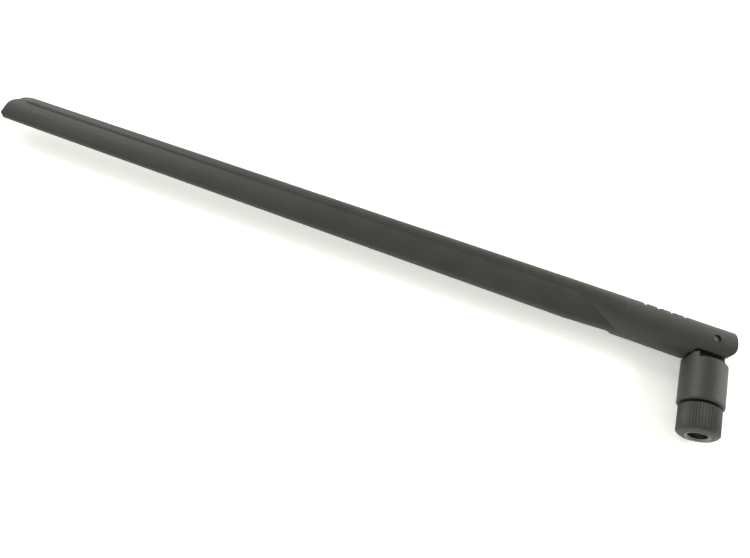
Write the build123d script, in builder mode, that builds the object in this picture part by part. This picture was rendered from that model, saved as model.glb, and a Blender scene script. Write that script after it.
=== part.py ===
"""Folding dual-band whip antenna with a knurled reverse-polarity coaxial plug.

Millimetres. The origin is the centre of the coupling nut's mouth. +Y runs up the connector towards
the hinge, the blade is folded at a right angle along -X, and +Z is the hinge axis.
"""

from build123d import *
from math import cos, pi, radians, sin
import os

os.makedirs("parts", exist_ok=True)

# Coupling nut, turned from brass, its fine knurl bitten into the plastic collar
nut_length = 8.3
nut_radius = 3.75
nut_knurl_depth = 0.13
nut_knurl_teeth = 72
thread_radius = 3.0
thread_start = 0.5
mouth_flare = 0.4
relief_start = 2.9
relief_radius = 3.25
nut_lip_bore = 2.5

# Knurled collar, moulded over the nut
collar_length = 8.7
collar_radius = 6.2
collar_teeth = 48
collar_tooth_depth = 0.36
collar_rim = 0.95
collar_chamfer = 0.3
collar_step_radius = 5.6
collar_step_height = 0.35
collar_mouth = 0.12
collar_bite = 0.06
collar_lip_bore = 3.2

# Connector core
ferrule_radius = 2.3
ferrule_bore = 2.05
ferrule_face = 3.0
ferrule_chamfer = 0.1
gasket_seat = 5.85
gasket_thickness = 0.5
gasket_radius = 2.93
flange_radius = 2.85
flange_length = 0.9
shank_radius = 2.4
step_length = 5.0
narrow_bore = 1.2
core_floor = 1.0
spigot_radius = 1.1
spigot_length = 3.1
ring_wire = 0.45
ring_radius = 3.1
ring_distance = 0.28
ring_groove_depth = 0.25
ring_slack = 0.08
ring_gap_angle = 50
contact_radius = 0.635
contact_bore = 0.46
contact_depth = 2.6
contact_setback = 1.75
solder_cup_depth = 1.0

# Swivel housing with the hinge tongue
running_clearance = 0.05
housing_gap = 0.7
housing_radius = 6.75
housing_length = 13.6
housing_chamfer = 0.45
housing_shoulder_round = 0.4
washer_thickness = 0.5
washer_radius = 4.4
clip_setback = 3.45
clip_radius = 3.0
clip_groove_depth = 0.35
tongue_thickness = 5.2
tongue_radius = 4.9
neck_top_radius = 5.1
neck_drop = 6.3
neck_top_drop = 4.4
stop_drop = 5.4
stop_slant_side = 5.6
stop_slant_drop = 6.8
cable_slot_width = 2.1
cable_slot_side = 1.2
crimp_chamber_radius = 2.05
crimp_chamber_length = 4.05
cable_hole_radius = 0.95
cable_hole_length = 1.2

# Hinge
pin_rise = 6.85
pin_radius = 1.15
pin_recess = 0.7
cheek_gap = 0.15
fork_reach = 6.5
fork_slot_depth = 6.6
fork_side_cut = 4.3
fork_side_cut_end = 5.1
fork_side_cut_slant = 1.6
fork_corner = 3.3

# Blade moulding
grip_radius = 6.4
grip_neck_radius = 6.15
grip_length = 29.0
spine_start = 43.0
spine_end_gap = 7.3
spine_radius_root = 3.5
spine_radius_tip = 2.3
spine_offset_root = 2.96
spine_offset_tip = 2.09
spine_dome = 5.0
panel_emerge = 26.0
panel_emerge_reach = 6.05
panel_root = 45.0
blade_tip = 224.6
crease_offset_root = 1.55
crease_offset_tip = 1.1
crease_height_root = 3.15
crease_height_tip = 2.05
nose_reach_root = 6.85
nose_reach_tip = 4.95
nose_radius_root = 1.7
nose_radius_tip = 1.2
nose_blend_angle = 25
tip_near_round = 1.6
tip_far_round = 5.3
tip_edge_round = 1.8
grip_notches = 4
notch_first = 9.3
notch_pitch = 4.25
notch_radius = 1.0
notch_depth = 0.6
notch_spread = 55

# Hollow of the blade
grip_bore = 4.5
cavity_start = 28.0
cavity_tip_wall = 17.6
cavity_near_root = 3.4
cavity_far_root = 4.6
cavity_half_height_root = 1.7
cavity_near_tip = 1.6
cavity_far_tip = 3.0
cavity_half_height_tip = 1.2

# Coaxial cable
jacket_radius = 0.685
braid_thickness = 0.17
dielectric_radius = 0.335
conductor_radius = 0.15
cable_bend = 5.0
braid_bare = 2.6
braid_lap = 1.8
dielectric_bare = 1.4
conductor_bare = 1.6
crimp_wall = 0.33

# Radiator board, its copper and its foam
board_start = 47.5
board_end_gap = 4.0
board_width = 4.2
board_centre = 0.9
board_thickness = 0.6
copper_thickness = 0.05
trace_width = 0.9
patch_width = 3.4
patch_length = 19.0
patch_count = 4
first_patch = 10.0
patch_margin = 18.3
ground_pad_length = 2.4
feed_solder_radius = 0.85
braid_solder_radius = 1.1
braid_lift = 0.03
foam_length = 12.0
foam_inset = 15.0
foam_slack = 0.02

# Stations along the connector's axis
flange_end = gasket_seat + flange_length
ring_low = flange_end + ring_distance
ring_high = ring_low + ring_wire
housing_front = collar_length + housing_gap
housing_top = housing_front + housing_length
shank_end = housing_top - cable_hole_length - crimp_chamber_length
clip_low = shank_end - clip_setback
clip_high = clip_low + ring_wire
spigot_end = shank_end + spigot_length
contact_end = shank_end - core_floor - contact_setback
pin_height = housing_top + pin_rise

# Stations along the blade, measured from the hinge pin
spine_end = blade_tip - spine_end_gap
cavity_end = blade_tip - cavity_tip_wall
board_end = cavity_end - board_end_gap
foam_places = {
    "root": board_start + foam_inset,
    "middle": (board_start + board_end) / 2,
    "tip": board_end - foam_inset,
}


def section_plane(distance):
    """Plane across the blade at a distance from the hinge pin, with local x towards the spine."""
    return Plane(origin=(-distance, pin_height, 0), x_dir=(0, 1, 0), z_dir=(-1, 0, 0))


def taper(distance, root, tip, start=spine_start, end=spine_end):
    """Value that changes evenly along the blade, from root at start to tip at end."""
    return root + (tip - root) * (distance - start) / (end - start)


def knurl_outline(radius, depth, teeth):
    """Face of a straight knurl: triangular teeth of a given depth round a circle."""
    points = []
    for tooth in range(teeth):
        crest = 2 * pi * tooth / teeth
        root = crest + pi / teeth
        points.append((radius * cos(crest), radius * sin(crest)))
        points.append(((radius - depth) * cos(root), (radius - depth) * sin(root)))
    with BuildSketch() as outline:
        with BuildLine():
            Polyline(*points, close=True)
        make_face()
    return outline.sketch


def turned_ring(inner, outer, low, high):
    """Rectangular section of a ring about the connector's axis, in the half plane x > 0."""
    with BuildSketch() as section:
        with BuildLine():
            Polyline((inner, low), (outer, low), (outer, high), (inner, high), close=True)
        make_face()
    return section.sketch


def panel_section(distance, nose_reach):
    """Section of the blade in front of its spine: a crowned face on each side and a round nose."""
    crease = taper(distance, crease_offset_root, crease_offset_tip)
    height = taper(distance, crease_height_root, crease_height_tip)
    back = taper(distance, spine_offset_root, spine_offset_tip)
    nose = taper(distance, nose_radius_root, nose_radius_tip)
    blend = radians(nose_blend_angle)
    blend_x = nose - nose_reach - nose * sin(blend)
    blend_y = nose * cos(blend)
    with BuildSketch() as section:
        with BuildLine():
            Line((back, height), (crease, height))
            TangentArc((crease, height), (blend_x, blend_y), tangent=(-1, 0))
            ThreePointArc((blend_x, blend_y), (-nose_reach, 0), (blend_x, -blend_y))
            TangentArc((crease, -height), (blend_x, -blend_y), tangent=(-1, 0))
            Line((crease, -height), (back, -height))
            Line((back, -height), (back, height))
        make_face()
    return section.sketch


def cavity_section(distance, slack=0.0):
    """Rectangular section of the blade's hollow, moved towards the thick spine."""
    near = taper(distance, cavity_near_root, cavity_near_tip, cavity_start, cavity_end)
    far = taper(distance, cavity_far_root, cavity_far_tip, cavity_start, cavity_end)
    half_height = taper(distance, cavity_half_height_root, cavity_half_height_tip, cavity_start, cavity_end)
    with BuildSketch() as section:
        with Locations(((far - near) / 2, 0)):
            Rectangle(near + far - 2 * slack, 2 * half_height - 2 * slack)
    return section.sketch


def corner_waste(corner_x, corner_y, side_x, side_y, radius):
    """What is cut away outside a rounded corner. side_x and side_y point out of the corner."""
    with BuildSketch() as waste:
        with Locations((corner_x, corner_y)):
            Rectangle(2 * radius, 2 * radius)
        with Locations((corner_x - side_x * radius, corner_y - side_y * radius)):
            Circle(radius, mode=Mode.SUBTRACT)
    return waste.sketch


# Coupling nut
with BuildPart() as coupling_nut:
    with BuildSketch(Plane.XZ):
        add(knurl_outline(nut_radius, nut_knurl_depth, nut_knurl_teeth))
    extrude(amount=-nut_length)
    with BuildSketch(Plane.XY):
        with BuildLine():
            Polyline(
                (0, 0),
                (thread_radius + mouth_flare, 0),
                (thread_radius, thread_start),
                (thread_radius, relief_start),
                (relief_radius, relief_start),
                (relief_radius, ring_high + ring_slack),
                (nut_lip_bore, ring_high + ring_slack),
                (nut_lip_bore, nut_length),
                (0, nut_length),
                close=True,
            )
        make_face()
    revolve(axis=Axis.Y, mode=Mode.SUBTRACT)
coupling_nut.part.label = "coupling_nut"
export_step(coupling_nut.part, "parts/coupling_nut.step")

# Knurled collar: straight teeth behind a plain stepped and coned face
with BuildPart() as knurled_collar:
    with BuildSketch(Plane.XZ.offset(-collar_rim)):
        add(knurl_outline(collar_radius, collar_tooth_depth, collar_teeth))
    extrude(amount=collar_rim - collar_length)
    with BuildSketch(Plane.XY):
        with BuildLine():
            Polyline(
                (0, collar_rim),
                (collar_radius - collar_chamfer, collar_rim),
                (collar_radius, collar_rim + collar_chamfer),
                (collar_radius, collar_length - collar_chamfer),
                (collar_radius - collar_chamfer, collar_length),
                (0, collar_length),
                close=True,
            )
        make_face()
    revolve(axis=Axis.Y, mode=Mode.INTERSECT)
    with BuildSketch(Plane.XY):
        with BuildLine():
            Polyline(
                (0, collar_mouth),
                (nut_radius, collar_mouth),
                (collar_step_radius - collar_step_height / 2, collar_rim - collar_step_height),
                (collar_step_radius, collar_rim - collar_step_height / 2),
                (collar_step_radius, collar_rim),
                (0, collar_rim),
                close=True,
            )
        make_face()
    revolve(axis=Axis.Y)
    with BuildSketch(Plane.XY):
        with BuildLine():
            Polyline(
                (0, 0),
                (nut_radius - collar_bite, 0),
                (nut_radius - collar_bite, nut_length),
                (collar_lip_bore, nut_length),
                (collar_lip_bore, collar_length),
                (0, collar_length),
                close=True,
            )
        make_face()
    revolve(axis=Axis.Y, mode=Mode.SUBTRACT)
knurled_collar.part.label = "knurled_collar"
export_step(knurled_collar.part, "parts/knurled_collar.step")

# Connector core: ferrule, flange, grooved shank and crimp spigot, turned in one piece
with BuildPart() as connector_core:
    with BuildSketch(Plane.XY):
        with BuildLine():
            Polyline(
                (ferrule_bore, ferrule_face),
                (ferrule_radius - ferrule_chamfer, ferrule_face),
                (ferrule_radius, ferrule_face + ferrule_chamfer),
                (ferrule_radius, gasket_seat),
                (flange_radius, gasket_seat),
                (flange_radius, flange_end),
                (shank_radius, flange_end),
                (shank_radius, ring_low),
                (shank_radius - ring_groove_depth, ring_low),
                (shank_radius - ring_groove_depth, ring_high),
                (shank_radius, ring_high),
                (shank_radius, clip_low),
                (shank_radius - clip_groove_depth, clip_low),
                (shank_radius - clip_groove_depth, clip_high),
                (shank_radius, clip_high),
                (shank_radius, shank_end),
                (spigot_radius, shank_end),
                (spigot_radius, spigot_end),
                (dielectric_radius, spigot_end),
                (dielectric_radius, shank_end - core_floor),
                (narrow_bore, shank_end - core_floor),
                (narrow_bore, ferrule_face + step_length),
                (ferrule_bore, ferrule_face + step_length),
                close=True,
            )
        make_face()
    revolve(axis=Axis.Y)
connector_core.part.label = "connector_core"
export_step(connector_core.part, "parts/connector_core.step")

# Insulator bush
with BuildPart() as insulator:
    with BuildSketch(Plane.XY):
        with BuildLine():
            Polyline(
                (contact_radius, ferrule_face),
                (ferrule_bore, ferrule_face),
                (ferrule_bore, ferrule_face + step_length),
                (narrow_bore, ferrule_face + step_length),
                (narrow_bore, shank_end - core_floor),
                (dielectric_radius, shank_end - core_floor),
                (dielectric_radius, contact_end),
                (contact_radius, contact_end),
                close=True,
            )
        make_face()
    revolve(axis=Axis.Y)
insulator.part.label = "insulator"
export_step(insulator.part, "parts/insulator.step")

# Centre contact: a socket in front and a solder cup behind
with BuildPart() as centre_contact:
    with BuildSketch(Plane.XZ.offset(-ferrule_face)):
        Circle(contact_radius)
    extrude(amount=ferrule_face - contact_end)
    with BuildSketch(Plane.XZ.offset(-ferrule_face)):
        Circle(contact_bore)
    extrude(amount=-contact_depth, mode=Mode.SUBTRACT)
    with BuildSketch(Plane.XZ.offset(-contact_end)):
        Circle(conductor_radius)
    extrude(amount=solder_cup_depth, mode=Mode.SUBTRACT)
centre_contact.part.label = "centre_contact"
export_step(centre_contact.part, "parts/centre_contact.step")

# Gasket on the flange, squeezed by the jack's rim
with BuildPart() as gasket:
    with BuildSketch(Plane.XY):
        add(turned_ring(ferrule_radius, gasket_radius, gasket_seat - gasket_thickness, gasket_seat))
    revolve(axis=Axis.Y)
    fillet(gasket.edges().group_by(Axis.Y)[0], gasket_thickness / 4)
gasket.part.label = "gasket"
export_step(gasket.part, "parts/gasket.step")

# Split ring that keeps the nut on the core
with BuildPart() as retaining_ring:
    with BuildSketch(Plane.XY):
        add(turned_ring(shank_radius - ring_groove_depth, ring_radius, ring_low, ring_high))
    revolve(axis=Axis.Y, revolution_arc=360 - ring_gap_angle)
retaining_ring.part.label = "retaining_ring"
export_step(retaining_ring.part, "parts/retaining_ring.step")

# Thrust washer between nut and housing
with BuildPart() as swivel_washer:
    with BuildSketch(Plane.XY):
        washer_low = housing_front - running_clearance - washer_thickness
        washer_high = housing_front - running_clearance
        add(turned_ring(shank_radius + running_clearance, washer_radius, washer_low, washer_high))
    revolve(axis=Axis.Y)
swivel_washer.part.label = "swivel_washer"
export_step(swivel_washer.part, "parts/swivel_washer.step")

# Spring clip that holds the core in the housing and lets it turn
with BuildPart() as swivel_clip:
    with BuildSketch(Plane.XY):
        add(turned_ring(shank_radius - clip_groove_depth, clip_radius, clip_low, clip_high))
    revolve(axis=Axis.Y, revolution_arc=360 - ring_gap_angle)
swivel_clip.part.label = "swivel_clip"
export_step(swivel_clip.part, "parts/swivel_clip.step")

# Crimp ferrule over the braid
braid_radius = spigot_radius + braid_thickness
crimp_low = shank_end + crimp_wall
with BuildPart() as crimp_ferrule:
    with BuildSketch(Plane.XY):
        add(turned_ring(braid_radius, braid_radius + crimp_wall, crimp_low, spigot_end))
    revolve(axis=Axis.Y)
crimp_ferrule.part.label = "crimp_ferrule"
export_step(crimp_ferrule.part, "parts/crimp_ferrule.step")

# Swivel housing: a round barrel with a two-walled tongue that the cable passes through. A coned neck
# carries the tongue, and a wall beside it stops the fork's cheeks when the blade stands straight.
stop_low = housing_top - housing_shoulder_round
with BuildPart() as tongue_neck:
    with BuildSketch(Plane.XY):
        with BuildLine():
            Polyline(
                (0, stop_low),
                (housing_radius, stop_low),
                (housing_radius, pin_height - neck_drop),
                (neck_top_radius, pin_height - neck_top_drop),
                (0, pin_height - neck_top_drop),
                close=True,
            )
        make_face()
    revolve(axis=Axis.Y)
    with BuildSketch(Plane.XY):
        with Locations((0, pin_height)):
            Rectangle(4 * housing_radius, 4 * housing_radius)
    extrude(amount=tongue_thickness / 2, both=True, mode=Mode.INTERSECT)

with BuildPart() as swivel_housing:
    with BuildSketch(Plane.XY):
        with BuildLine():
            Polyline(
                (0, housing_front),
                (housing_radius - housing_chamfer, housing_front),
                (housing_radius, housing_front + housing_chamfer),
                (housing_radius, housing_top),
                (0, housing_top),
                close=True,
            )
        make_face()
    revolve(axis=Axis.Y)
    fillet(swivel_housing.edges().group_by(Axis.Y)[-1], housing_shoulder_round)
    with BuildSketch(Plane.XZ.offset(-stop_low)):
        Circle(housing_radius)
        with Locations((-fork_side_cut - cheek_gap, 0)):
            Rectangle(2 * housing_radius, 2 * housing_radius, align=(Align.MIN, Align.CENTER), mode=Mode.SUBTRACT)
    extrude(amount=stop_low - pin_height + stop_drop)
    with BuildSketch(Plane.XY):
        with Locations((0, pin_height)):
            Circle(tongue_radius)
        with Locations((0, stop_low)):
            Rectangle(2 * tongue_radius, pin_height - stop_low, align=(Align.CENTER, Align.MIN))
    extrude(amount=tongue_thickness / 2, both=True)
    add(tongue_neck.part)
    with BuildSketch(Plane.XY):
        with BuildLine():
            Polyline(
                (-stop_slant_side, pin_height - stop_drop),
                (-housing_radius, pin_height - stop_slant_drop),
                (-2 * housing_radius, pin_height - stop_slant_drop),
                (-2 * housing_radius, pin_height - stop_drop),
                close=True,
            )
        make_face()
    extrude(amount=housing_radius, both=True, mode=Mode.SUBTRACT)
    with BuildSketch(Plane.XY):
        with Locations((cable_slot_side, housing_top)):
            Rectangle(4 * tongue_radius, 4 * tongue_radius, align=(Align.MAX, Align.MIN))
    extrude(amount=cable_slot_width / 2, both=True, mode=Mode.SUBTRACT)
    with BuildSketch(Plane.XY):
        bore = shank_radius + running_clearance
        clip_groove = clip_radius + 2 * running_clearance
        with BuildLine():
            Polyline(
                (0, housing_front),
                (bore, housing_front),
                (bore, clip_low - ring_slack),
                (clip_groove, clip_low - ring_slack),
                (clip_groove, clip_high + ring_slack),
                (bore, clip_high + ring_slack),
                (bore, shank_end + ring_slack),
                (crimp_chamber_radius, shank_end + ring_slack),
                (crimp_chamber_radius, housing_top - cable_hole_length),
                (cable_hole_radius, housing_top - cable_hole_length),
                (cable_hole_radius, housing_top),
                (0, housing_top),
                close=True,
            )
        make_face()
    revolve(axis=Axis.Y, mode=Mode.SUBTRACT)
    with BuildSketch(Plane.XY):
        with Locations((0, pin_height)):
            Circle(pin_radius + running_clearance)
    extrude(amount=tongue_thickness, both=True, mode=Mode.SUBTRACT)
swivel_housing.part.label = "swivel_housing"
export_step(swivel_housing.part, "parts/swivel_housing.step")

# Blade moulding: round grip, spine rod and crowned panel in one hollow piece
with BuildPart() as blade_shell:
    with BuildSketch(section_plane(-fork_reach)):
        Circle(grip_radius)
    with BuildSketch(section_plane(grip_length)):
        Circle(grip_neck_radius)
    loft()
    with BuildSketch(section_plane(grip_length)):
        Circle(grip_neck_radius)
    with BuildSketch(section_plane(spine_start)):
        with Locations((spine_offset_root, 0)):
            Circle(spine_radius_root)
    loft()
    with BuildSketch(section_plane(spine_start)):
        with Locations((spine_offset_root, 0)):
            Circle(spine_radius_root)
    with BuildSketch(section_plane(spine_end)):
        with Locations((spine_offset_tip, 0)):
            Circle(spine_radius_tip)
    loft()
    with BuildSketch(section_plane(panel_emerge)):
        add(panel_section(panel_emerge, panel_emerge_reach))
    with BuildSketch(section_plane(panel_root)):
        add(panel_section(panel_root, nose_reach_root))
    loft(ruled=True)
    with BuildSketch(section_plane(panel_root)):
        add(panel_section(panel_root, nose_reach_root))
    with BuildSketch(section_plane(blade_tip)):
        add(panel_section(blade_tip, taper(blade_tip, nose_reach_root, nose_reach_tip)))
    loft(ruled=True)
    tip_reach = taper(blade_tip, nose_reach_root, nose_reach_tip)
    tip_back = taper(blade_tip, spine_offset_root, spine_offset_tip)
    with BuildSketch(Plane.XY):
        add(corner_waste(-blade_tip, pin_height - tip_reach, -1, -1, tip_near_round))
        add(corner_waste(-blade_tip, pin_height + tip_back, -1, 1, tip_far_round))
    extrude(amount=grip_radius, both=True, mode=Mode.SUBTRACT)
    tip_height = taper(blade_tip, crease_height_root, crease_height_tip)
    with BuildSketch(Plane.XZ):
        add(corner_waste(-blade_tip, tip_height, -1, 1, tip_edge_round))
        add(corner_waste(-blade_tip, -tip_height, -1, -1, tip_edge_round))
    extrude(amount=-pin_height - grip_radius, mode=Mode.SUBTRACT)
    with BuildSketch(Plane.XY):
        with Locations((-spine_end, pin_height + spine_offset_tip)):
            Ellipse(spine_dome, spine_radius_tip)
            Rectangle(spine_dome, 2 * spine_radius_tip, align=(Align.MIN, Align.CENTER), mode=Mode.SUBTRACT)
            Rectangle(2 * spine_dome, spine_radius_tip, align=(Align.CENTER, Align.MAX), mode=Mode.SUBTRACT)
    revolve(axis=Axis((-spine_end, pin_height + spine_offset_tip, 0), (1, 0, 0)))
    notch_plane = Plane(origin=(0, pin_height, 0), x_dir=(1, 0, 0), z_dir=(0, 0, 1)).rotated((-notch_spread, 0, 0))
    with BuildSketch(notch_plane):
        for notch in range(grip_notches):
            distance = notch_first + notch * notch_pitch
            surface = taper(distance, grip_radius, grip_neck_radius, -fork_reach, grip_length)
            with Locations((-distance, surface + notch_radius - notch_depth)):
                Circle(notch_radius)
    revolve(axis=Axis((0, pin_height, 0), (1, 0, 0)), revolution_arc=2 * notch_spread, mode=Mode.SUBTRACT)
    with BuildSketch(Plane.XY):
        with Locations((-fork_slot_depth, pin_height)):
            Rectangle(fork_slot_depth + 2 * fork_reach, 4 * grip_radius, align=(Align.MIN, Align.CENTER))
    extrude(amount=tongue_thickness / 2 + cheek_gap, both=True, mode=Mode.SUBTRACT)
    with BuildSketch(Plane.XY):
        cut_line = pin_height - fork_side_cut
        below = pin_height - 2 * grip_radius
        with BuildLine():
            Polyline(
                (-fork_side_cut_end, cut_line),
                (-fork_side_cut_end - fork_side_cut_slant, pin_height - grip_radius),
                (-fork_side_cut_end - fork_side_cut_slant, below),
                (2 * fork_reach, below),
                (2 * fork_reach, cut_line),
                close=True,
            )
        make_face()
        add(corner_waste(fork_reach, cut_line, 1, -1, fork_corner))
    extrude(amount=2 * grip_radius, both=True, mode=Mode.SUBTRACT)
    with BuildSketch(section_plane(fork_slot_depth)):
        Circle(grip_bore)
    extrude(amount=cavity_start - fork_slot_depth, mode=Mode.SUBTRACT)
    with BuildSketch(section_plane(cavity_start)):
        add(cavity_section(cavity_start))
    with BuildSketch(section_plane(cavity_end)):
        add(cavity_section(cavity_end))
    loft(ruled=True, mode=Mode.SUBTRACT)
    with BuildSketch(Plane.XY):
        with Locations((0, pin_height)):
            Circle(pin_radius)
    extrude(amount=2 * grip_radius, both=True, mode=Mode.SUBTRACT)
blade_shell.part.label = "blade_shell"
export_step(blade_shell.part, "parts/blade_shell.step")

# Hinge pins: one pressed in each cheek, so that the cable can pass between them
pin_inner = cable_slot_width / 2 + 2 * running_clearance
pin_outer = grip_radius - pin_recess
with BuildPart() as upper_hinge_pin:
    with BuildSketch(Plane.XY.offset(pin_inner)):
        with Locations((0, pin_height)):
            Circle(pin_radius)
    extrude(amount=pin_outer - pin_inner)
upper_hinge_pin.part.label = "upper_hinge_pin"
export_step(upper_hinge_pin.part, "parts/upper_hinge_pin.step")

with BuildPart() as lower_hinge_pin:
    with BuildSketch(Plane.XY.offset(-pin_outer)):
        with Locations((0, pin_height)):
            Circle(pin_radius)
    extrude(amount=pin_outer - pin_inner)
lower_hinge_pin.part.label = "lower_hinge_pin"
export_step(lower_hinge_pin.part, "parts/lower_hinge_pin.step")

# Coaxial cable: stripped in steps at both ends, with the braid flared over the crimp spigot
braid_outer = dielectric_radius + braid_thickness
braid_end = board_start + braid_lap
dielectric_end = braid_end + dielectric_bare
with BuildPart() as coax_cable:
    with BuildLine() as cable_path:
        Line((0, spigot_end), (0, pin_height - cable_bend))
        RadiusArc((0, pin_height - cable_bend), (-cable_bend, pin_height), -cable_bend)
        Line((-cable_bend, pin_height), (-board_start + braid_bare, pin_height))
    with BuildSketch(Plane.XZ.offset(-spigot_end)):
        Circle(jacket_radius)
    sweep()
    with BuildSketch(Plane.XY):
        with BuildLine():
            Polyline(
                (0, contact_end - solder_cup_depth),
                (conductor_radius, contact_end - solder_cup_depth),
                (conductor_radius, contact_end),
                (dielectric_radius, contact_end),
                (dielectric_radius, spigot_end),
                (spigot_radius, spigot_end),
                (spigot_radius, crimp_low),
                (braid_radius, crimp_low),
                (braid_radius, spigot_end),
                (jacket_radius, spigot_end + braid_radius - jacket_radius),
                (0, spigot_end + braid_radius - jacket_radius),
                close=True,
            )
        make_face()
    revolve(axis=Axis.Y)
    with BuildSketch(section_plane(board_start - braid_bare)):
        Circle(braid_outer)
    extrude(amount=braid_bare + braid_lap)
    with BuildSketch(section_plane(braid_end)):
        Circle(dielectric_radius)
    extrude(amount=dielectric_bare)
    with BuildSketch(section_plane(dielectric_end)):
        Circle(conductor_radius)
    extrude(amount=conductor_bare)
coax_cable.part.label = "coax_cable"
export_step(coax_cable.part, "parts/coax_cable.step")
print("bend radius of the coaxial cable:", cable_bend, "mm")

# Radiator board, as far below the middle plane as the bared braid over it needs
board_top = -braid_outer - braid_lift - copper_thickness
board_bottom = board_top - board_thickness
board_length = board_end - board_start
with BuildPart() as radiator_board:
    with BuildSketch(Plane.XY.offset(board_bottom)):
        with Locations((-board_start, pin_height + board_centre)):
            Rectangle(board_length, board_width, align=(Align.MAX, Align.CENTER))
    extrude(amount=board_thickness)
radiator_board.part.label = "radiator_board"
export_step(radiator_board.part, "parts/radiator_board.step")

# Copper of the front: a feed line with wide patches
feed_start = dielectric_end + trace_width / 2
patch_room = board_end - patch_margin - feed_start - first_patch - patch_length / 2
patch_pitch = patch_room / (patch_count - 1)
patch_line = pin_height + board_centre
with BuildPart() as front_copper:
    with BuildSketch(Plane.XY.offset(board_top)):
        with Locations((-feed_start, pin_height)):
            Rectangle(first_patch, trace_width, align=(Align.MAX, Align.CENTER))
        feed_length = (patch_count - 1) * patch_pitch
        with Locations((-feed_start - first_patch, patch_line)):
            Rectangle(feed_length, trace_width, align=(Align.MAX, Align.CENTER))
        for patch in range(patch_count):
            with Locations((-feed_start - first_patch - patch * patch_pitch, patch_line)):
                Rectangle(patch_length, patch_width)
    extrude(amount=copper_thickness)
front_copper.part.label = "front_copper"
export_step(front_copper.part, "parts/front_copper.step")

# Copper of the back: the same patches, half a pitch further on
with BuildPart() as back_copper:
    with BuildSketch(Plane.XY.offset(board_bottom - copper_thickness)):
        with Locations((-board_start, patch_line)):
            back_length = patch_pitch * (patch_count - 0.5)
            Rectangle(back_length, trace_width, align=(Align.MAX, Align.CENTER))
        for patch in range(patch_count - 1):
            with Locations((-feed_start - first_patch - (patch + 0.5) * patch_pitch, patch_line)):
                Rectangle(patch_length, patch_width)
    extrude(amount=copper_thickness)
back_copper.part.label = "back_copper"
export_step(back_copper.part, "parts/back_copper.step")

# Ground pad under the bared braid
with BuildPart() as ground_pad:
    with BuildSketch(Plane.XY.offset(board_top)):
        with Locations((-board_start, pin_height)):
            Rectangle(ground_pad_length, 2 * braid_solder_radius, align=(Align.MAX, Align.CENTER))
    extrude(amount=copper_thickness)
ground_pad.part.label = "ground_pad"
export_step(ground_pad.part, "parts/ground_pad.step")

# Solder joints of conductor and braid
copper_top = board_top + copper_thickness
with BuildPart() as feed_solder:
    with Locations((-dielectric_end - feed_solder_radius, pin_height, copper_top)):
        Sphere(feed_solder_radius, arc_size1=0, align=(Align.CENTER, Align.CENTER, Align.MIN))
    add(coax_cable.part, mode=Mode.SUBTRACT)
feed_solder.part.label = "feed_solder"
export_step(feed_solder.part, "parts/feed_solder.step")

with BuildPart() as braid_solder:
    with Locations((-board_start - ground_pad_length / 2, pin_height, copper_top)):
        Sphere(braid_solder_radius, arc_size1=0, align=(Align.CENTER, Align.CENTER, Align.MIN))
    add(coax_cable.part, mode=Mode.SUBTRACT)
braid_solder.part.label = "braid_solder"
export_step(braid_solder.part, "parts/braid_solder.step")

# Foam blocks that hold the board in the hollow
for place, distance in foam_places.items():
    with BuildPart() as foam_block:
        with BuildSketch(section_plane(distance)):
            add(cavity_section(distance, foam_slack))
        with BuildSketch(section_plane(distance + foam_length)):
            add(cavity_section(distance + foam_length, foam_slack))
        loft(ruled=True)
        with BuildSketch(section_plane(distance)):
            with Locations((board_centre, -(board_top + board_bottom) / 2)):
                Rectangle(board_width, board_thickness + 2 * copper_thickness)
        extrude(amount=foam_length, mode=Mode.SUBTRACT)
    foam_block.part.label = "foam_block_" + place
    export_step(foam_block.part, "parts/foam_block_" + place + ".step")
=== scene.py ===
"""Wifi antenna with a folding blade: the visual model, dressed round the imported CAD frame.

Lengths are millimetres unless a comment says metres, and become metres through MM. +Y runs up the
connector, the blade lies along -X, and +Z is the hinge axis and points away from the floor.
"""

from math import atan2, hypot, pi, radians, tau

import bpy
from mathutils import Matrix, Vector


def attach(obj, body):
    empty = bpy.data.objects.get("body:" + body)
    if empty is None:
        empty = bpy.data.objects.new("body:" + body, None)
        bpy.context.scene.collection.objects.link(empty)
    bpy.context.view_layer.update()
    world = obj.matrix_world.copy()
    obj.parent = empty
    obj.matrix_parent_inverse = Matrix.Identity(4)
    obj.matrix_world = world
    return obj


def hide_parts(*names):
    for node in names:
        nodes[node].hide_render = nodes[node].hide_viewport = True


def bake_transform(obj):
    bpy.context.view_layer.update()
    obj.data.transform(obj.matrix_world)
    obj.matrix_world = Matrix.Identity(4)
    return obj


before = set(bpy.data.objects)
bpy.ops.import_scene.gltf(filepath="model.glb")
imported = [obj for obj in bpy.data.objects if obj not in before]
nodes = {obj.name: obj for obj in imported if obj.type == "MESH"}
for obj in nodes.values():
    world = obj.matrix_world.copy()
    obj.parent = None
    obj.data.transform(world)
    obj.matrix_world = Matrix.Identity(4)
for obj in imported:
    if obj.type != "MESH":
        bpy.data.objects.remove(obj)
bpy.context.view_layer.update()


# Connector core: ferrule, flange, shank and crimp spigot, turned in one piece from free-cutting brass
# and nickel plated. It stays the CAD node, as does the crimp ferrule, a drawn tube with the same plate.
# Everything else on the plug is stacked on the core.
MM = 0.001
TOOL_MARK_DEPTH = 0.01
NICKEL_FEED = 0.08       # the real tool leaves a ring every 0.03 mm, drawn wider so that the rings show


def srgb(hex_value):
    """Linear colour of an sRGB value such as "#8A8C8B"."""
    shades = [int(hex_value[place:place + 2], 16) / 255 for place in (1, 3, 5)]
    return tuple(s / 12.92 if s <= 0.04045 else ((s + 0.055) / 1.055) ** 2.4 for s in shades) + (1.0,)


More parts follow.
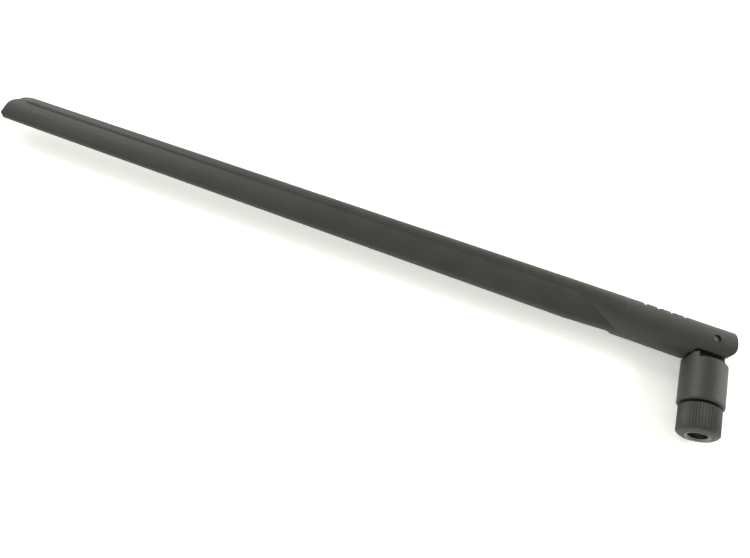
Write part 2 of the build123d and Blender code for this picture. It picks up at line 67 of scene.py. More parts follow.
def add_node(tree, kind, sockets, **settings):
    """Adds a shader node. settings are its own options, sockets its inputs: values or other outputs."""
    added = tree.nodes.new(kind)
    for option, value in settings.items():
        setattr(added, option, value)
    for name, value in sockets.items():
        if isinstance(value, bpy.types.NodeSocket):
            tree.links.new(value, added.inputs[name])
        else:
            added.inputs[name].default_value = value
    return added


def new_finish(name):
    """Starts a material: its tree, its shader and the object coordinates in metres."""
    material = bpy.data.materials.new(name)
    material.use_nodes = True
    tree = material.node_tree
    shader = tree.nodes["Principled BSDF"]
    place = tree.nodes.new("ShaderNodeTexCoord").outputs["Object"]
    return material, tree, shader, place


def two_tones(tree, shader, pattern, dark, light):
    """Colours a surface between two sRGB shades, by a pattern that runs from 0 to 1."""
    shade = add_node(tree, "ShaderNodeValToRGB", {"Fac": pattern})
    for stop, (position, colour) in zip(shade.color_ramp.elements, ((0.3, dark), (0.7, light))):
        stop.position = position
        stop.color = srgb(colour)
    tree.links.new(shade.outputs["Color"], shader.inputs["Base Color"])
    return shade.outputs["Color"]


def turned_marks(tree, place, feed):
    """Rings that a lathe tool leaves round the Y axis, feed millimetres apart: a stretched noise."""
    parts = add_node(tree, "ShaderNodeSeparateXYZ", {"Vector": place}).outputs
    across = add_node(tree, "ShaderNodeCombineXYZ", {"X": parts["X"], "Y": parts["Z"]}).outputs[0]
    radius = add_node(tree, "ShaderNodeVectorMath", {0: across}, operation="LENGTH").outputs["Value"]
    rings = add_node(tree, "ShaderNodeCombineXYZ", {"X": radius, "Y": parts["Y"]}).outputs[0]
    return add_node(
        tree, "ShaderNodeTexNoise", {"Vector": rings, "Scale": 1 / (feed * MM), "Detail": 2.0}
    ).outputs["Fac"]


def give(material, *names):
    """Puts a material on CAD nodes that stay in view."""
    for name in names:
        for slot in nodes[name].material_slots:
            slot.material = material


# Bright nickel over turned brass gives the eye a grey mirror, broken up by fine tool rings. Its colour is
# partly the plate's own grey and partly painted shade: it is painted darker than bright nickel, so that the
# nut's mouth ring stays dark.
shade_darkened_nickel, tree, shader, place = new_finish("nickel_plate_darkened_by_painted_shade")
marks = turned_marks(tree, place, NICKEL_FEED)
# Painted shade: both shades are darker than bright nickel, so that the mouth ring reads dark as if it lay in
# shade.
two_tones(tree, shader, marks, "#656460", "#7F7D78")
gloss = add_node(tree, "ShaderNodeMapRange", {"Value": marks, "To Min": 0.2, "To Max": 0.36})
relief = add_node(
    tree, "ShaderNodeBump", {"Height": marks, "Strength": 0.25, "Distance": TOOL_MARK_DEPTH * MM}
)
tree.links.new(gloss.outputs["Result"], shader.inputs["Roughness"])
tree.links.new(relief.outputs["Normal"], shader.inputs["Normal"])
shader.inputs["Metallic"].default_value = 1.0
give(shade_darkened_nickel, "connector_core", "crimp_ferrule")


# Insulator: a stepped fluoropolymer bush, machined from rod and pressed into the core. It is waxy and
# bluish white, and light goes a little way in.
PTFE_FEED = 0.12
PTFE_GLOW_DEPTH = 0.5
ptfe, tree, shader, place = new_finish("machined_ptfe")
marks = turned_marks(tree, place, PTFE_FEED)
two_tones(tree, shader, marks, "#AEB9BB", "#C3CCCD")
relief = add_node(
    tree, "ShaderNodeBump", {"Height": marks, "Strength": 0.3, "Distance": TOOL_MARK_DEPTH * MM}
)
tree.links.new(relief.outputs["Normal"], shader.inputs["Normal"])
shader.inputs["Roughness"].default_value = 0.42
shader.inputs["IOR"].default_value = 1.35
shader.inputs["Subsurface Weight"].default_value = 0.2
shader.inputs["Subsurface Scale"].default_value = PTFE_GLOW_DEPTH * MM
give(ptfe, "insulator")


# Coupling nut: turned from brass and nickel plated, knurled outside so that the collar grips it, and
# tapped right-hand with the standard quarter-inch thread, 36 turns to the inch. A cone leads the jack in.
SEAM = 0.0005            # points closer than this are one point
SHARP_EDGE = 30          # degrees; flatter edges are shaded smooth
TURNED_EDGE = 0.03       # how far a deburred metal edge is rounded
NUT_RADIUS = 3.75
NUT_LENGTH = 8.3
NUT_TEETH = 72
NUT_TOOTH_DEPTH = 0.13
NUT_CHAMFER = 0.13
MOUTH_RADIUS = 3.4
THREAD_PITCH = 25.4 / 36
THREAD_CREST = 2.86      # radius of the bore that the tap starts from
THREAD_ROOT = 3.175
THREAD_ROOT_FLAT = 0.088
TAP_FREE = 0.08          # how far the tap's flanks reach inside the bore
TAP_START = -1.2
TAP_TURNS = 6
TAP_STEPS = 64           # facets in one turn
THREAD_END = 2.9
RELIEF_RADIUS = 3.25
LIP_FACE = 7.56
LIP_BORE = 2.5


def outline_line(name, outline):
    """Draws (radius, height) points as one line and stays in edit mode with the whole line selected."""
    bpy.ops.object.select_all(action="DESELECT")
    bpy.ops.mesh.primitive_plane_add(size=MM)
    piece = bpy.context.object
    piece.name = name
    bpy.ops.object.mode_set(mode="EDIT")
    bpy.ops.mesh.select_all(action="SELECT")
    bpy.ops.mesh.merge(type="CENTER")
    corners = [Vector((radius, height, 0)) * MM for radius, height in outline]
    bpy.ops.transform.translate(value=corners[0])
    for here, there in zip(corners, corners[1:]):
        bpy.ops.mesh.extrude_region_move(TRANSFORM_OT_translate={"value": there - here})
    bpy.ops.mesh.select_all(action="SELECT")
    bpy.ops.mesh.remove_doubles(threshold=SEAM * MM)
    return piece


def turned(name, outline, steps):
    """Spins an outline round the Y axis. An outline that doesn't start on the axis is closed first."""
    closing = outline[:1] if outline[0][0] > 0 else []
    piece = outline_line(name, outline + closing)
    bpy.ops.mesh.spin(steps=steps, angle=tau, center=(0, 0, 0), axis=(0, 1, 0))
    bpy.ops.mesh.select_all(action="SELECT")
    bpy.ops.mesh.remove_doubles(threshold=SEAM * MM)
    bpy.ops.mesh.normals_make_consistent(inside=False)
    bpy.ops.object.mode_set(mode="OBJECT")
    return piece


def cut_teeth(piece, teeth, radius, depth):
    """Draws every second column of a turned rim inwards, so that the rim becomes triangular teeth."""
    bpy.ops.object.mode_set(mode="EDIT")
    bpy.ops.mesh.select_mode(type="VERT")
    bpy.ops.mesh.select_all(action="DESELECT")
    bpy.ops.object.mode_set(mode="OBJECT")
    for vertex in piece.data.vertices:
        column = round(atan2(vertex.co.z, vertex.co.x) / (pi / teeth))
        outside = hypot(vertex.co.x, vertex.co.z) > (radius - depth / 4) * MM
        vertex.select = outside and column % 2 == 1
    bpy.ops.object.mode_set(mode="EDIT")
    shrink = (radius - depth) / radius
    bpy.ops.transform.resize(value=(shrink, 1, shrink), center_override=(0, 0, 0))
    bpy.ops.object.mode_set(mode="OBJECT")


def choose(piece):
    """Makes a piece the only selected and the active one."""
    bpy.ops.object.select_all(action="DESELECT")
    piece.select_set(True)
    bpy.context.view_layer.objects.active = piece


def soften(piece, width):
    """Rounds every sharp edge, then shades the piece smooth."""
    bevel = piece.modifiers.new("soft_edges", "BEVEL")
    bevel.width = width * MM
    bevel.segments = 2
    bevel.limit_method = "ANGLE"
    bevel.angle_limit = radians(SHARP_EDGE)
    choose(piece)
    bpy.ops.object.modifier_apply(modifier=bevel.name)
    bpy.ops.object.shade_smooth_by_angle(angle=radians(SHARP_EDGE))


def cut_away(piece, cutter):
    """Takes a cutter's shape out of a piece and throws the cutter away."""
    cut = piece.modifiers.new("cut", "BOOLEAN")
    cut.operation = "DIFFERENCE"
    cut.solver = "EXACT"
    cut.object = cutter
    choose(piece)
    bpy.ops.object.modifier_apply(modifier=cut.name)
    bpy.data.objects.remove(cutter)


def stand_for(piece, material, body, node):
    """Gives a finished piece its material and its body, and puts it in a CAD node's place."""
    piece.data.materials.clear()
    piece.data.materials.append(material)
    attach(piece, body)
    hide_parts(node)


nut = turned(
    "tapped_coupling_nut",
    [
        (MOUTH_RADIUS, 0),
        (NUT_RADIUS - NUT_CHAMFER, 0),
        (NUT_RADIUS, NUT_CHAMFER),
        (NUT_RADIUS, NUT_LENGTH),
        (LIP_BORE, NUT_LENGTH),
        (LIP_BORE, LIP_FACE),
        (RELIEF_RADIUS, LIP_FACE),
        (RELIEF_RADIUS, THREAD_END),
        (THREAD_CREST, THREAD_END),
        (THREAD_CREST, MOUTH_RADIUS - THREAD_CREST),
    ],
    2 * NUT_TEETH,
)
cut_teeth(nut, NUT_TEETH, NUT_RADIUS, NUT_TOOTH_DEPTH)
soften(nut, TURNED_EDGE)

# The tap: one 60 degree tooth, wound up the axis from below the mouth into the relief.
flank = (THREAD_ROOT - THREAD_CREST + TAP_FREE) * (3 ** -0.5)
low_corner = TAP_START - THREAD_ROOT_FLAT / 2
high_corner = TAP_START + THREAD_ROOT_FLAT / 2
tooth = [
    (THREAD_CREST - TAP_FREE, low_corner - flank),
    (THREAD_ROOT, low_corner),
    (THREAD_ROOT, high_corner),
    (THREAD_CREST - TAP_FREE, high_corner + flank),
]
tap = outline_line("quarter_inch_tap", tooth + tooth[:1])
bpy.ops.object.mode_set(mode="OBJECT")
turns = tap.modifiers.new("turns", "SCREW")
turns.axis = "Y"
turns.angle = tau
turns.screw_offset = THREAD_PITCH * MM
turns.iterations = TAP_TURNS
turns.steps = TAP_STEPS
turns.render_steps = TAP_STEPS
bpy.ops.object.modifier_apply(modifier=turns.name)
bpy.ops.object.mode_set(mode="EDIT")
bpy.ops.mesh.select_all(action="SELECT")
bpy.ops.mesh.remove_doubles(threshold=SEAM * MM)
bpy.ops.mesh.fill_holes(sides=len(tooth))
bpy.ops.mesh.normals_make_consistent(inside=False)
bpy.ops.object.mode_set(mode="OBJECT")
cut_away(nut, tap)
bpy.ops.object.shade_smooth_by_angle(angle=radians(SHARP_EDGE))
stand_for(nut, shade_darkened_nickel, "coupling", "coupling_nut")


# Centre contact: a beryllium copper socket with a countersunk mouth, turned, slotted so that it grips
# the jack's pin, gold plated and pressed into the insulator. Its far end is the cup for the conductor.
CONTACT_RADIUS = 0.635
CONTACT_BORE = 0.46
CONTACT_FACE = 3.0
CONTACT_END = 15.0
CONTACT_CHAMFER = 0.05
CONTACT_STEPS = 48
SOCKET_DEPTH = 2.6
MOUTH_SINK = 0.07
CUP_RADIUS = 0.15
CUP_DEPTH = 1.0
SLOT_WIDTH = 0.14
SLOT_DEPTH = 2.0
SAW_LENGTH = 4 * CONTACT_RADIUS
GOLD_FEED = 0.05
socket_floor = CONTACT_FACE + SOCKET_DEPTH
cup_floor = CONTACT_END - CUP_DEPTH
gold, tree, shader, place = new_finish("gold_plated_contact")
marks = turned_marks(tree, place, GOLD_FEED)
two_tones(tree, shader, marks, "#B98F4A", "#DDBB72")
shader.inputs["Metallic"].default_value = 1.0
shader.inputs["Roughness"].default_value = 0.25
contact = turned(
    "slotted_centre_contact",
    [
        (0, socket_floor),
        (CONTACT_BORE, socket_floor),
        (CONTACT_BORE, CONTACT_FACE + MOUTH_SINK),
        (CONTACT_BORE + MOUTH_SINK, CONTACT_FACE),
        (CONTACT_RADIUS - CONTACT_CHAMFER, CONTACT_FACE),
        (CONTACT_RADIUS, CONTACT_FACE + CONTACT_CHAMFER),
        (CONTACT_RADIUS, CONTACT_END),
        (CUP_RADIUS, CONTACT_END),
        (CUP_RADIUS, cup_floor),
        (0, cup_floor),
    ],
    CONTACT_STEPS,
)
for length, width in ((SAW_LENGTH, SLOT_WIDTH), (SLOT_WIDTH, SAW_LENGTH)):
    bpy.ops.object.select_all(action="DESELECT")
    bpy.ops.mesh.primitive_cube_add(size=MM, location=(0, CONTACT_FACE * MM, 0))
    saw = bpy.context.object
    bpy.ops.object.mode_set(mode="EDIT")
    bpy.ops.transform.resize(value=(length, 2 * SLOT_DEPTH, width))
    bpy.ops.object.mode_set(mode="OBJECT")
    cut_away(contact, saw)
bpy.ops.object.shade_smooth_by_angle(angle=radians(SHARP_EDGE))
stand_for(contact, gold, "connector", "centre_contact")


# Gasket: a moulded silicone ring that sits round the ferrule on the flange, where the jack's rim
# squeezes it. Dark brown, smooth, with a faint bloom.
GASKET_BLOOM = 0.9
rubber, tree, shader, place = new_finish("brown_silicone_rubber")
bloom = add_node(
    tree, "ShaderNodeTexNoise", {"Vector": place, "Scale": 1 / (GASKET_BLOOM * MM), "Detail": 5.0}
)
two_tones(tree, shader, bloom.outputs["Fac"], "#2C211B", "#3E3028")
shader.inputs["Roughness"].default_value = 0.5
give(rubber, "gasket")


# Retaining ring and swivel clip: split rings of hard drawn spring wire, snapped into the core's two
# grooves. One keeps the nut on, the other keeps the core in the housing.
SPRING_GRAIN = 0.2
spring, tree, shader, place = new_finish("drawn_spring_steel")
grain = add_node(
    tree, "ShaderNodeTexNoise", {"Vector": place, "Scale": 1 / (SPRING_GRAIN * MM), "Detail": 4.0}
).outputs["Fac"]
two_tones(tree, shader, grain, "#8E8D8A", "#C4C3C0")
gloss = add_node(tree, "ShaderNodeMapRange", {"Value": grain, "To Min": 0.22, "To Max": 0.42})
tree.links.new(gloss.outputs["Result"], shader.inputs["Roughness"])
shader.inputs["Metallic"].default_value = 1.0
give(spring, "retaining_ring", "swivel_clip")


# Knurled collar: black ABS moulded round the nut, which leaves it no way to turn or slide. Straight
# triangular teeth end in a plain rim, and a step and a cone lead down to the nut's mouth.
COLLAR_RADIUS = 6.2
COLLAR_TEETH = 48
COLLAR_TOOTH_DEPTH = 0.36
COLLAR_LENGTH = 8.7
COLLAR_CHAMFER = 0.3
COLLAR_RIM = 0.95
COLLAR_MOUTH = 0.12
COLLAR_BORE = 3.69
COLLAR_LIP_BORE = 3.2
COLLAR_EDGE = 0.05
STEP_RADIUS = 5.6
STEP_HEIGHT = 0.35
PIT_PITCH = 0.16         # real spark pits are near 0.04 mm apart and are drawn coarser, so that they show
PIT_DEPTH = 0.05
SHEEN_CLOUD = 7.0        # breadth of the patches where the plastic cooled unevenly
DUST_SPACING = 1.1
DUST_LEVEL = 0.95        # only a place whose random shade is above this holds a speck
DUST_SIZE = 0.05         # radius of a speck, as a share of the spacing
DUST_COLOUR = "#4E4F4A"
WITNESS_WIDTH = 0.09
WITNESS_HEIGHT = 0.03
EDGE_ROUND = 0.18        # what the tool's edges leave on the moulding


def moulded_black(name, dark, light, roughness, witness_axis):
    """Black ABS from a spark-eroded tool: even pits, soft edges, uneven sheen, rare dust, a witness line."""
    material, tree, shader, place = new_finish(name)
    pits = add_node(
        tree, "ShaderNodeTexNoise",
        {"Vector": place, "Scale": 1 / (PIT_PITCH * MM), "Detail": 3.0, "Roughness": 0.6},
    ).outputs["Fac"]
    cloud = add_node(
        tree, "ShaderNodeTexNoise",
        {"Vector": place, "Scale": 1 / (SHEEN_CLOUD * MM), "Detail": 4.0, "Roughness": 0.55},
    ).outputs["Fac"]
    black = two_tones(tree, shader, cloud, dark, light)
    specks = add_node(
        tree, "ShaderNodeTexVoronoi",
        {"Vector": place, "Scale": 1 / (DUST_SPACING * MM), "Randomness": 1.0},
    ).outputs
    rare = add_node(
        tree, "ShaderNodeMath", {0: specks["Color"], 1: DUST_LEVEL}, operation="GREATER_THAN"
    ).outputs[0]
    small = add_node(
        tree, "ShaderNodeMath", {0: specks["Distance"], 1: DUST_SIZE}, operation="LESS_THAN"
    ).outputs[0]
    dust = add_node(tree, "ShaderNodeMath", {0: rare, 1: small}, operation="MULTIPLY").outputs[0]
    dusty = add_node(
        tree, "ShaderNodeMix", {"Factor": dust, 6: black, 7: srgb(DUST_COLOUR)}, data_type="RGBA"
    ).outputs[2]
    gloss = add_node(
        tree, "ShaderNodeMapRange",
        {"Value": cloud, "To Min": roughness - 0.05, "To Max": roughness + 0.06},
    ).outputs["Result"]
    parts = add_node(tree, "ShaderNodeSeparateXYZ", {"Vector": place}).outputs
    away = add_node(tree, "ShaderNodeMath", {0: parts[witness_axis]}, operation="ABSOLUTE").outputs[0]
    line = add_node(
        tree, "ShaderNodeMapRange",
        {"Value": away, "From Min": 0.0, "From Max": WITNESS_WIDTH / 2 * MM, "To Min": 1.0, "To Max": 0.0},
        interpolation_type="SMOOTHSTEP",
    ).outputs["Result"]
    rounded = add_node(tree, "ShaderNodeBevel", {"Radius": EDGE_ROUND * MM}, samples=4).outputs[0]
    pitted = add_node(
        tree, "ShaderNodeBump",
        {"Height": pits, "Normal": rounded, "Strength": 0.35, "Distance": PIT_DEPTH * MM},
    ).outputs[0]
    relief = add_node(
        tree, "ShaderNodeBump",
        {"Height": line, "Normal": pitted, "Strength": 0.4, "Distance": WITNESS_HEIGHT * MM},
    ).outputs[0]
    tree.links.new(dusty, shader.inputs["Base Color"])
    tree.links.new(gloss, shader.inputs["Roughness"])
    tree.links.new(relief, shader.inputs["Normal"])
    shader.inputs["IOR"].default_value = 1.53
    return material


collar_black = moulded_black("satin_black_abs_collar", "#262822", "#2C2E28", 0.5, "X")
collar = turned(
    "knurled_collar_moulding",
    [
        (COLLAR_BORE, COLLAR_MOUTH),
        (STEP_RADIUS - STEP_HEIGHT / 2, COLLAR_RIM - STEP_HEIGHT),
        (STEP_RADIUS, COLLAR_RIM - STEP_HEIGHT / 2),
        (STEP_RADIUS, COLLAR_RIM),
        (COLLAR_RADIUS - COLLAR_CHAMFER, COLLAR_RIM),
        (COLLAR_RADIUS, COLLAR_RIM + COLLAR_CHAMFER),
        (COLLAR_RADIUS, COLLAR_LENGTH - COLLAR_CHAMFER),
        (COLLAR_RADIUS - COLLAR_CHAMFER, COLLAR_LENGTH),
        (COLLAR_LIP_BORE, COLLAR_LENGTH),
        (COLLAR_LIP_BORE, NUT_LENGTH),
        (COLLAR_BORE, NUT_LENGTH),
    ],
    2 * COLLAR_TEETH,
)
cut_teeth(collar, COLLAR_TEETH, COLLAR_RADIUS, COLLAR_TOOTH_DEPTH)
soften(collar, COLLAR_EDGE)
stand_for(collar, collar_black, "coupling", "knurled_collar")


# Swivel washer: stamped from black nylon sheet and laid loose round the shank, between collar and
# housing. It lets the housing turn without rubbing the collar.
NYLON_GRAIN = 0.4
nylon, tree, shader, place = new_finish("black_nylon_sheet")
grain = add_node(
    tree, "ShaderNodeTexNoise", {"Vector": place, "Scale": 1 / (NYLON_GRAIN * MM), "Detail": 4.0}
)
two_tones(tree, shader, grain.outputs["Fac"], "#1A1A1A", "#262626")
shader.inputs["Roughness"].default_value = 0.45
give(nylon, "swivel_washer")


# Swivel housing: a barrel with a two-walled tongue, moulded in the same black ABS with an even spark
# texture. The core clips into it from below and the blade's fork straddles the tongue.
housing_black = moulded_black("spark_eroded_black_abs_housing", "#2A2C26", "#30322C", 0.52, "X")
give(housing_black, "swivel_housing")


# Coaxial cable: an extruded black jacket over a tinned braid, a dielectric and a wire. It is crimped on
# the core, bends through the tongue's slot and is stripped in steps where it meets the board. Both bared
# ends are hidden inside and share the braid's finish.
HINGE_HEIGHT = 29.85
CABLE_RADIUS = 0.685
CABLE_START = 20.85
CABLE_END = 44.9
CABLE_SWEEP = 13.0       # how far past the hinge the cable takes to lie straight
CABLE_STEPS = 32
CABLE_ROUND = 40         # degrees; flatter edges of the jacket are shaded smooth
BRAID_RADIUS = 0.505
BRAID_END = 49.3
BRAID_MESH = 0.2         # the braid's 0.1 mm wires are drawn as bumps, twice as coarse, so that they show
BRAID_RELIEF = 0.05
DIELECTRIC_RADIUS = 0.335
DIELECTRIC_END = 50.7
CONDUCTOR_RADIUS = 0.15
CONDUCTOR_END = 52.3
SPIGOT_RADIUS = 1.1
FLARE_RADIUS = 1.27
FLARE_LOW = 18.41
JACKET_GRAIN = 0.5
jacket, tree, shader, place = new_finish("extruded_cable_jacket")
grain = add_node(
    tree, "ShaderNodeTexNoise", {"Vector": place, "Scale": 1 / (JACKET_GRAIN * MM), "Detail": 3.0}
)
two_tones(tree, shader, grain.outputs["Fac"], "#141414", "#202020")
shader.inputs["Roughness"].default_value = 0.35

braid, tree, shader, place = new_finish("tinned_copper_braid")
wires = add_node(
    tree, "ShaderNodeTexVoronoi", {"Vector": place, "Scale": 1 / (BRAID_MESH * MM)}
).outputs["Distance"]
two_tones(tree, shader, wires, "#8F8F8C", "#C9C9C6")
relief = add_node(
    tree, "ShaderNodeBump", {"Height": wires, "Strength": 0.8, "Distance": BRAID_RELIEF * MM}
)
tree.links.new(relief.outputs["Normal"], shader.inputs["Normal"])
shader.inputs["Metallic"].default_value = 1.0
shader.inputs["Roughness"].default_value = 0.35

route = bpy.data.curves.new("coax_route", "CURVE")
route.dimensions = "3D"
spline = route.splines.new("NURBS")
route_points = (
    (0, CABLE_START, 0),
    (0, HINGE_HEIGHT, 0),
    (-CABLE_SWEEP, HINGE_HEIGHT, 0),
    (-CABLE_END, HINGE_HEIGHT, 0),
)
spline.points.add(len(route_points) - 1)
for point, spot in zip(spline.points, route_points):
    point.co = (*(Vector(spot) * MM), 1.0)
spline.order_u = 3
spline.use_endpoint_u = True
spline.resolution_u = 24
route.bevel_depth = CABLE_RADIUS * MM
route.bevel_resolution = 4
route.use_fill_caps = True
cable = bpy.data.objects.new("coax_cable_in_hinge", route)
bpy.context.scene.collection.objects.link(cable)
choose(cable)
bpy.ops.object.convert(target="MESH")
bpy.ops.object.shade_smooth_by_angle(angle=radians(CABLE_ROUND))
cable.data.materials.append(jacket)

flare_top = CABLE_START + FLARE_RADIUS - CABLE_RADIUS
plug_end = turned(
    "cable_crimped_end",
    [
        (0, cup_floor),
        (CONDUCTOR_RADIUS, cup_floor),
        (CONDUCTOR_RADIUS, CONTACT_END),
        (DIELECTRIC_RADIUS, CONTACT_END),
        (DIELECTRIC_RADIUS, CABLE_START),
        (SPIGOT_RADIUS, CABLE_START),
        (SPIGOT_RADIUS, FLARE_LOW),
        (FLARE_RADIUS, FLARE_LOW),
        (FLARE_RADIUS, CABLE_START),
        (CABLE_RADIUS, flare_top),
        (0, flare_top),
    ],
    CABLE_STEPS,
)
plug_end.data.materials.append(braid)

braid_start = CABLE_END - BRAID_RADIUS
board_end = turned(
    "cable_stripped_end",
    [
        (0, braid_start),
        (BRAID_RADIUS, braid_start),
        (BRAID_RADIUS, BRAID_END),
        (DIELECTRIC_RADIUS, BRAID_END),
        (DIELECTRIC_RADIUS, DIELECTRIC_END),
        (CONDUCTOR_RADIUS, DIELECTRIC_END),
        (CONDUCTOR_RADIUS, CONDUCTOR_END),
        (0, CONDUCTOR_END),
    ],
    CABLE_STEPS,
)
board_end.data.materials.append(braid)
board_end.rotation_euler = (0, 0, pi / 2)
board_end.location = (0, HINGE_HEIGHT * MM, 0)
bpy.ops.object.transform_apply(location=True, rotation=True, scale=True)
bpy.ops.object.select_all(action="DESELECT")
for part in (plug_end, board_end, cable):
    part.select_set(True)
bpy.context.view_layer.objects.active = cable
bpy.ops.object.join()
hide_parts("coax_cable")
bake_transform(cable)


# Blade: one hollow moulding of round grip, spine rod and crowned panel, in black ABS with the same spark
# texture. The tool's halves met in the middle of its thickness.
blade_black = moulded_black("spark_eroded_black_abs_blade", "#282A24", "#2E302A", 0.52, "Z")
give(blade_black, "blade_shell")


# Hinge pins: two short pins cropped from blackened steel rod, chamfered and pressed into the cheeks of
# the fork, one from each side. Each outer end has the shallow dimple of its press tool.
PIN_RADIUS = 1.15
PIN_INNER = 1.15
PIN_OUTER = 5.7
PIN_CHAMFER = 0.18
PIN_STEPS = 48
PIN_GRAIN = 0.15
DIMPLE_RADIUS = 0.45
DIMPLE_DEPTH = 0.1
pin_steel, tree, shader, place = new_finish("blackened_pin_steel")
grain = add_node(
    tree, "ShaderNodeTexNoise", {"Vector": place, "Scale": 1 / (PIN_GRAIN * MM), "Detail": 4.0}
)
two_tones(tree, shader, grain.outputs["Fac"], "#686A66", "#787A76")
shader.inputs["Metallic"].default_value = 1.0
shader.inputs["Roughness"].default_value = 0.5
pin_outline = [
    (0, PIN_INNER),
    (PIN_RADIUS - PIN_CHAMFER, PIN_INNER),
    (PIN_RADIUS, PIN_INNER + PIN_CHAMFER),
    (PIN_RADIUS, PIN_OUTER - PIN_CHAMFER),
    (PIN_RADIUS - PIN_CHAMFER, PIN_OUTER),
    (DIMPLE_RADIUS, PIN_OUTER),
    (0, PIN_OUTER - DIMPLE_DEPTH),
]
for cheek, turn_to_cheek in (("upper", pi / 2), ("lower", -pi / 2)):
    pin = turned(cheek + "_chamfered_hinge_pin", pin_outline, PIN_STEPS)
    pin.rotation_euler = (turn_to_cheek, 0, 0)
    pin.location = (0, HINGE_HEIGHT * MM, 0)
    bpy.ops.object.transform_apply(location=True, rotation=True, scale=True)
    soften(pin, TURNED_EDGE)
    stand_for(pin, pin_steel, "blade", cheek + "_hinge_pin")


# Radiator board: glass laminate, routed to a strip and covered with green solder mask, under which the
# glass cloth's weave shows faintly. The foam blocks hold it in the blade.
WEAVE_PITCH = 0.5
board, tree, shader, place = new_finish("solder_masked_laminate")
weave = add_node(
    tree, "ShaderNodeTexWave",
    {"Vector": place, "Scale": 1 / (WEAVE_PITCH * MM), "Distortion": 1.0},
    bands_direction="X",
)
two_tones(tree, shader, weave.outputs["Fac"], "#1F5A33", "#276B3E")
shader.inputs["Roughness"].default_value = 0.3
give(board, "radiator_board")


# Copper of the board: rolled foil on both faces, etched to the radiating strips and the ground pad. It
# is left bare, and the rolling grain shows in it.
FOIL_GRAIN = 0.3
copper, tree, shader, place = new_finish("etched_copper_foil")
grain = add_node(
    tree, "ShaderNodeTexNoise", {"Vector": place, "Scale": 1 / (FOIL_GRAIN * MM), "Detail": 4.0}
)
two_tones(tree, shader, grain.outputs["Fac"], "#A8623F", "#D08A60")
shader.inputs["Metallic"].default_value = 1.0
shader.inputs["Roughness"].default_value = 0.35
give(copper, "front_copper", "back_copper", "ground_pad")


# Solder joints: bright tin alloy, run on with an iron and set in a smooth blob, one over the conductor
# and one over the braid.
SOLDER_GRAIN = 0.4
solder, tree, shader, place = new_finish("bright_tin_solder")
grain = add_node(
    tree, "ShaderNodeTexNoise", {"Vector": place, "Scale": 1 / (SOLDER_GRAIN * MM), "Detail": 4.0}
).outputs["Fac"]
two_tones(tree, shader, grain, "#BDBDBC", "#DADAD9")
gloss = add_node(tree, "ShaderNodeMapRange", {"Value": grain, "To Min": 0.15, "To Max": 0.35})
tree.links.new(gloss.outputs["Result"], shader.inputs["Roughness"])
shader.inputs["Metallic"].default_value = 1.0
give(solder, "feed_solder", "braid_solder")


# Foam blocks: closed-cell polyethylene, cut with a knife and pushed into the blade with the board, which
# they keep from rattling. Cut cells make the surface dull and pitted.
FOAM_CELL = 0.35
FOAM_CELL_DEPTH = 0.1
foam, tree, shader, place = new_finish("grey_closed_cell_foam")
cells = add_node(
    tree, "ShaderNodeTexVoronoi", {"Vector": place, "Scale": 1 / (FOAM_CELL * MM)}
).outputs["Distance"]
two_tones(tree, shader, cells, "#3F3F41", "#5E5E61")
relief = add_node(
    tree, "ShaderNodeBump", {"Height": cells, "Strength": 0.6, "Distance": FOAM_CELL_DEPTH * MM}
)
tree.links.new(relief.outputs["Normal"], shader.inputs["Normal"])
shader.inputs["Roughness"].default_value = 0.8
give(foam, "foam_block_root", "foam_block_middle", "foam_block_tip")


# Studio: a pale table that the antenna lies on, seen from above inside a white tent that is brightest at
# its walls. The camera sees the table a little lighter than it is lit, and its shadows stay.
FLOOR_HEIGHT = -6.75     # the barrel of the housing touches it
FLOOR_SIZE = 3.0         # metres
FLOOR_GLOW = 0.38
TENT_WALL = 1.55         # strength at the horizon
TENT_ROOF = 0.42         # strength overhead
bpy.ops.object.select_all(action="DESELECT")
bpy.ops.mesh.primitive_plane_add(size=FLOOR_SIZE, location=(0, 0, FLOOR_HEIGHT * MM))
floor = bpy.context.object
floor.name = "table_top"
card, tree, shader, place = new_finish("white_card_table")
shader.inputs["Base Color"].default_value = srgb("#F3F3EF")
shader.inputs["Roughness"].default_value = 0.9
shader.inputs["Specular IOR Level"].default_value = 0.1
glow = add_node(tree, "ShaderNodeEmission", {"Color": srgb("#FFFEFC"), "Strength": FLOOR_GLOW})
both = add_node(tree, "ShaderNodeAddShader", {0: shader.outputs[0], 1: glow.outputs[0]})
path = tree.nodes.new("ShaderNodeLightPath").outputs
seen = add_node(
    tree, "ShaderNodeMath", {0: path["Is Camera Ray"], 1: path["Is Glossy Ray"]}, operation="MAXIMUM"
).outputs[0]
seen = add_node(
    tree, "ShaderNodeMath", {0: seen, 1: path["Is Transmission Ray"]}, operation="MAXIMUM"
).outputs[0]
chosen = add_node(tree, "ShaderNodeMixShader", {0: seen, 1: shader.outputs[0], 2: both.outputs[0]})
tree.links.new(chosen.outputs[0], tree.nodes["Material Output"].inputs["Surface"])
floor.data.materials.append(card)

world = bpy.data.worlds.new("pale_studio_tent")
bpy.context.scene.world = world
world.use_nodes = True
tree = world.node_tree
lit = tree.nodes["Background"]
lit.inputs["Color"].default_value = srgb("#F7F9F1")
direction = tree.nodes.new("ShaderNodeTexCoord").outputs["Generated"]
height = add_node(tree, "ShaderNodeSeparateXYZ", {"Vector": direction}).outputs["Z"]
fall = add_node(
    tree, "ShaderNodeMapRange",
    {"Value": height, "To Min": TENT_WALL, "To Max": TENT_ROOF},
    interpolation_type="SMOOTHSTEP",
).outputs["Result"]
tree.links.new(fall, lit.inputs["Strength"])
white = add_node(tree, "ShaderNodeBackground", {"Color": srgb("#FFFFFD"), "Strength": 1.0})
path = tree.nodes.new("ShaderNodeLightPath").outputs
chosen = add_node(
    tree, "ShaderNodeMixShader", {0: path["Is Camera Ray"], 1: lit.outputs[0], 2: white.outputs[0]}
)
tree.links.new(chosen.outputs[0], tree.nodes["World Output"].inputs["Surface"])


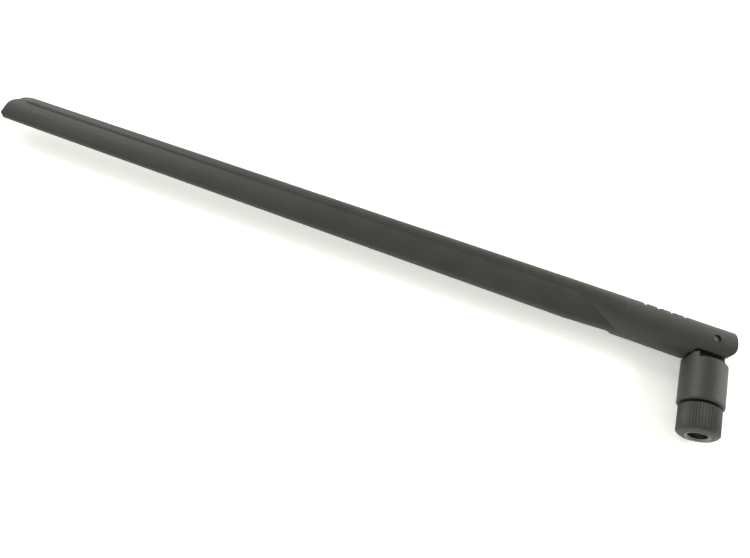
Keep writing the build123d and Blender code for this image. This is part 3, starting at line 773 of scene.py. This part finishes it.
# Lamps: the key light stands low at the right and only throws the wide soft shadow, so its own image is
# kept off the plastic. The narrow barrel light draws the upright band on the housing, and the side light
# lifts its right half. Their places and sizes are metres and their powers watts.
def soft_box(name, target, direction, distance, size, power):
    """Oblong area lamp that faces a target from a direction."""
    lamp = bpy.data.lights.new(name, "AREA")
    lamp.shape = "RECTANGLE"
    lamp.size = size[0]
    lamp.size_y = size[1]
    lamp.energy = power
    lamp_object = bpy.data.objects.new(name, lamp)
    bpy.context.scene.collection.objects.link(lamp_object)
    away = Vector(direction).normalized()
    lamp_object.location = Vector(target) + away * distance
    lamp_object.rotation_euler = (-away).to_track_quat("-Z", "Y").to_euler()
    return lamp_object


key_light = soft_box(
    "key_light", target=(-0.05, 0.03, 0), direction=(0.85, 0.24, 0.47), distance=0.75,
    size=(0.42, 0.42), power=2.9,
)
key_light.visible_glossy = False
soft_box(
    "barrel_light", target=(0, 0.015, 0), direction=(-0.75, 0.42, 0.49), distance=0.5,
    size=(0.07, 0.3), power=0.9,
)
soft_box(
    "side_light", target=(0, 0.015, 0), direction=(0.78, 0.45, 0.43), distance=0.6,
    size=(0.45, 0.45), power=1.3,
)


# Camera: held above the table on the connector's side, at the angle and distance that were fitted to the
# photograph. It looks down across the blade's middle.
CAMERA_PLACE = (-105.5, -87.5, 199.6)
CAMERA_AHEAD = (0.0131, 0.45428, -0.89071)
CAMERA_UPWARD = (-0.3269, 0.8442, 0.4247)
CAMERA_LENS = 36.48
SENSOR_WIDTH = 36.0
camera_data = bpy.data.cameras.new("photo_camera")
camera_data.sensor_width = SENSOR_WIDTH
camera_data.lens = CAMERA_LENS
camera = bpy.data.objects.new("photo_camera", camera_data)
bpy.context.scene.collection.objects.link(camera)
ahead = Vector(CAMERA_AHEAD).normalized()
side = ahead.cross(Vector(CAMERA_UPWARD)).normalized()
upward = side.cross(ahead)
turn = Matrix((side, upward, -ahead)).transposed().to_4x4()
camera.matrix_world = Matrix.Translation(Vector(CAMERA_PLACE) * MM) @ turn
bpy.context.scene.camera = camera
bpy.context.scene.view_settings.view_transform = "Standard"
